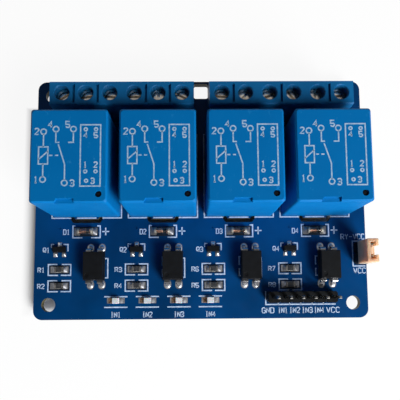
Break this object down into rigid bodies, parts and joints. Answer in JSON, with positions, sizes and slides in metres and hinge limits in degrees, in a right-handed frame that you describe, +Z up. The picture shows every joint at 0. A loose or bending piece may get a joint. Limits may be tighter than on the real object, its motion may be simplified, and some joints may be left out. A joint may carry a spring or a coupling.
{
  "type": "relay module board",
  "caption": "Blue circuit board with a row of box relays, screw terminals behind them, optocouplers, small chip parts, indicator lights, pin headers and a jumper cap in front.",
  "frame": {"origin": "in the plane of the cut pin ends, below the middle of the board", "axes": "+X to the right along the terminals, +Y towards the terminals, +Z up out of the board"},
  "size_m": [0.075, 0.055, 0.0193],
  "materials": {
    "solder_mask": "blue solder mask on glass-epoxy board, satin gloss",
    "terminal_plastic": "blue moulded polyamide, satin",
    "zinc_steel": "zinc-plated steel, slightly dull",
    "clamp_metal": "nickel-plated steel sleeve",
    "tinned_brass": "tinned brass strip",
    "relay_plastic": "sky blue moulded case, satin",
    "base_plastic": "dark blue moulded base",
    "relay_iron": "nickel-plated iron",
    "bobbin_plastic": "natural white moulded bobbin",
    "copper_wire": "enamelled copper winding",
    "black_moulding": "black epoxy moulding, fine matt grain",
    "diode_glass": "clear glass over a copper coloured core, tinned caps",
    "resistor_ceramic": "black overcoat on ceramic with tinned ends",
    "led_moulding": "milky moulded light on a white carrier",
    "header_plastic": "black glass-filled nylon",
    "header_metal": "plated square pins",
    "cap_plastic": "tan moulded jumper cap",
    "clip_brass": "phosphor bronze clip",
    "solder": "bright tin solder"
  },
  "bodies": {
    "board": {"circuit_board": "solder_mask", "terminal_block_1": "terminal_plastic", "terminal_block_2": "terminal_plastic", "terminal_block_3": "terminal_plastic", "terminal_block_4": "terminal_plastic", "terminal_block_5": "terminal_plastic", "terminal_contacts": "tinned_brass", "relay_case_1": "relay_plastic", "relay_case_2": "relay_plastic", "relay_case_3": "relay_plastic", "relay_case_4": "relay_plastic", "relay_bases": "base_plastic", "relay_yokes": "relay_iron", "relay_bobbins": "bobbin_plastic", "relay_windings": "copper_wire", "relay_pins": "tinned_brass", "optocouplers": "black_moulding", "optocoupler_leads": "tinned_brass", "diodes": "diode_glass", "transistors": "black_moulding", "transistor_leads": "tinned_brass", "chip_resistors": "resistor_ceramic", "indicator_leds": "led_moulding", "input_header": "header_plastic", "input_header_pins": "header_metal", "supply_header": "header_plastic", "supply_header_pins": "header_metal", "solder_joints": "solder"},
    "screw_1": {"terminal_screw_1": "zinc_steel"},
    "clamp_1": {"terminal_clamp_1": "clamp_metal"},
    "screw_2": {"terminal_screw_2": "zinc_steel"},
    "clamp_2": {"terminal_clamp_2": "clamp_metal"},
    "screw_3": {"terminal_screw_3": "zinc_steel"},
    "clamp_3": {"terminal_clamp_3": "clamp_metal"},
    "screw_4": {"terminal_screw_4": "zinc_steel"},
    "clamp_4": {"terminal_clamp_4": "clamp_metal"},
    "screw_5": {"terminal_screw_5": "zinc_steel"},
    "clamp_5": {"terminal_clamp_5": "clamp_metal"},
    "screw_6": {"terminal_screw_6": "zinc_steel"},
    "clamp_6": {"terminal_clamp_6": "clamp_metal"},
    "screw_7": {"terminal_screw_7": "zinc_steel"},
    "clamp_7": {"terminal_clamp_7": "clamp_metal"},
    "screw_8": {"terminal_screw_8": "zinc_steel"},
    "clamp_8": {"terminal_clamp_8": "clamp_metal"},
    "screw_9": {"terminal_screw_9": "zinc_steel"},
    "clamp_9": {"terminal_clamp_9": "clamp_metal"},
    "screw_10": {"terminal_screw_10": "zinc_steel"},
    "clamp_10": {"terminal_clamp_10": "clamp_metal"},
    "screw_11": {"terminal_screw_11": "zinc_steel"},
    "clamp_11": {"terminal_clamp_11": "clamp_metal"},
    "screw_12": {"terminal_screw_12": "zinc_steel"},
    "clamp_12": {"terminal_clamp_12": "clamp_metal"},
    "armature_1": {"relay_armature_1": "relay_iron"},
    "armature_2": {"relay_armature_2": "relay_iron"},
    "armature_3": {"relay_armature_3": "relay_iron"},
    "armature_4": {"relay_armature_4": "relay_iron"},
    "jumper": {"jumper_cap": "cap_plastic", "jumper_clip": "clip_brass"}
  },
  "joints": [
    {"name": "screw_1_turn", "type": "hinge", "parent": "board", "child": "screw_1", "pos_m": [-0.029, 0.0202, 0.0096], "axis": [0, 0, -1], "range_deg": [0, 1200]},
    {"name": "clamp_1_rise", "type": "slide", "parent": "board", "child": "clamp_1", "axis": [0, 0, 1], "range_m": [0, 0.0015]},
    {"name": "screw_2_turn", "type": "hinge", "parent": "board", "child": "screw_2", "pos_m": [-0.024, 0.0202, 0.0096], "axis": [0, 0, -1], "range_deg": [0, 1200]},
    {"name": "clamp_2_rise", "type": "slide", "parent": "board", "child": "clamp_2", "axis": [0, 0, 1], "range_m": [0, 0.0015]},
    {"name": "screw_3_turn", "type": "hinge", "parent": "board", "child": "screw_3", "pos_m": [-0.019, 0.0202, 0.0096], "axis": [0, 0, -1], "range_deg": [0, 1200]},
    {"name": "clamp_3_rise", "type": "slide", "parent": "board", "child": "clamp_3", "axis": [0, 0, 1], "range_m": [0, 0.0015]},
    {"name": "screw_4_turn", "type": "hinge", "parent": "board", "child": "screw_4", "pos_m": [-0.0139, 0.0202, 0.0096], "axis": [0, 0, -1], "range_deg": [0, 1200]},
    {"name": "clamp_4_rise", "type": "slide", "parent": "board", "child": "clamp_4", "axis": [0, 0, 1], "range_m": [0, 0.0015]},
    {"name": "screw_5_turn", "type": "hinge", "parent": "board", "child": "screw_5", "pos_m": [-0.0089, 0.0202, 0.0096], "axis": [0, 0, -1], "range_deg": [0, 1200]},
    {"name": "clamp_5_rise", "type": "slide", "parent": "board", "child": "clamp_5", "axis": [0, 0, 1], "range_m": [0, 0.0015]},
    {"name": "screw_6_turn", "type": "hinge", "parent": "board", "child": "screw_6", "pos_m": [-0.0039, 0.0202, 0.0096], "axis": [0, 0, -1], "range_deg": [0, 1200]},
    {"name": "clamp_6_rise", "type": "slide", "parent": "board", "child": "clamp_6", "axis": [0, 0, 1], "range_m": [0, 0.0015]},
    {"name": "screw_7_turn", "type": "hinge", "parent": "board", "child": "screw_7", "pos_m": [0.0045, 0.0202, 0.0096], "axis": [0, 0, -1], "range_deg": [0, 1200]},
    {"name": "clamp_7_rise", "type": "slide", "parent": "board", "child": "clamp_7", "axis": [0, 0, 1], "range_m": [0, 0.0015]},
    {"name": "screw_8_turn", "type": "hinge", "parent": "board", "child": "screw_8", "pos_m": [0.0095, 0.0202, 0.0096], "axis": [0, 0, -1], "range_deg": [0, 1200]},
    {"name": "clamp_8_rise", "type": "slide", "parent": "board", "child": "clamp_8", "axis": [0, 0, 1], "range_m": [0, 0.0015]},
    {"name": "screw_9_turn", "type": "hinge", "parent": "board", "child": "screw_9", "pos_m": [0.0146, 0.0202, 0.0096], "axis": [0, 0, -1], "range_deg": [0, 1200]},
    {"name": "clamp_9_rise", "type": "slide", "parent": "board", "child": "clamp_9", "axis": [0, 0, 1], "range_m": [0, 0.0015]},
    {"name": "screw_10_turn", "type": "hinge", "parent": "board", "child": "screw_10", "pos_m": [0.0196, 0.0202, 0.0096], "axis": [0, 0, -1], "range_deg": [0, 1200]},
    {"name": "clamp_10_rise", "type": "slide", "parent": "board", "child": "clamp_10", "axis": [0, 0, 1], "range_m": [0, 0.0015]},
    {"name": "screw_11_turn", "type": "hinge", "parent": "board", "child": "screw_11", "pos_m": [0.0247, 0.0202, 0.0096], "axis": [0, 0, -1], "range_deg": [0, 1200]},
    {"name": "clamp_11_rise", "type": "slide", "parent": "board", "child": "clamp_11", "axis": [0, 0, 1], "range_m": [0, 0.0015]},
    {"name": "screw_12_turn", "type": "hinge", "parent": "board", "child": "screw_12", "pos_m": [0.0297, 0.0202, 0.0096], "axis": [0, 0, -1], "range_deg": [0, 1200]},
    {"name": "clamp_12_rise", "type": "slide", "parent": "board", "child": "clamp_12", "axis": [0, 0, 1], "range_m": [0, 0.0015]},
    {"name": "armature_1_swing", "type": "hinge", "parent": "board", "child": "armature_1", "pos_m": [-0.02585, -0.00195, 0.01605], "axis": [1, 0, 0], "range_deg": [-2.5, 0], "stiffness_Nm_per_rad": 0.0009, "springref_deg": 11.46},
    {"name": "armature_2_swing", "type": "hinge", "parent": "board", "child": "armature_2", "pos_m": [-0.00855, -0.00195, 0.01605], "axis": [1, 0, 0], "range_deg": [-2.5, 0], "stiffness_Nm_per_rad": 0.0009, "springref_deg": 11.46},
    {"name": "armature_3_swing", "type": "hinge", "parent": "board", "child": "armature_3", "pos_m": [0.00875, -0.00195, 0.01605], "axis": [1, 0, 0], "range_deg": [-2.5, 0], "stiffness_Nm_per_rad": 0.0009, "springref_deg": 11.46},
    {"name": "armature_4_swing", "type": "hinge", "parent": "board", "child": "armature_4", "pos_m": [0.02605, -0.00195, 0.01605], "axis": [1, 0, 0], "range_deg": [-2.5, 0], "stiffness_Nm_per_rad": 0.0009, "springref_deg": 11.46},
    {"name": "jumper_pull", "type": "slide", "parent": "board", "child": "jumper", "axis": [0, 0, 1], "range_m": [0, 0.0053]}
  ],
  "couplings": [
    {"joint": "screw_1_turn", "follows": "clamp_1_rise", "rad_per_m": 13963},
    {"joint": "screw_2_turn", "follows": "clamp_2_rise", "rad_per_m": 13963},
    {"joint": "screw_3_turn", "follows": "clamp_3_rise", "rad_per_m": 13963},
    {"joint": "screw_4_turn", "follows": "clamp_4_rise", "rad_per_m": 13963},
    {"joint": "screw_5_turn", "follows": "clamp_5_rise", "rad_per_m": 13963},
    {"joint": "screw_6_turn", "follows": "clamp_6_rise", "rad_per_m": 13963},
    {"joint": "screw_7_turn", "follows": "clamp_7_rise", "rad_per_m": 13963},
    {"joint": "screw_8_turn", "follows": "clamp_8_rise", "rad_per_m": 13963},
    {"joint": "screw_9_turn", "follows": "clamp_9_rise", "rad_per_m": 13963},
    {"joint": "screw_10_turn", "follows": "clamp_10_rise", "rad_per_m": 13963},
    {"joint": "screw_11_turn", "follows": "clamp_11_rise", "rad_per_m": 13963},
    {"joint": "screw_12_turn", "follows": "clamp_12_rise", "rad_per_m": 13963}
  ]
}
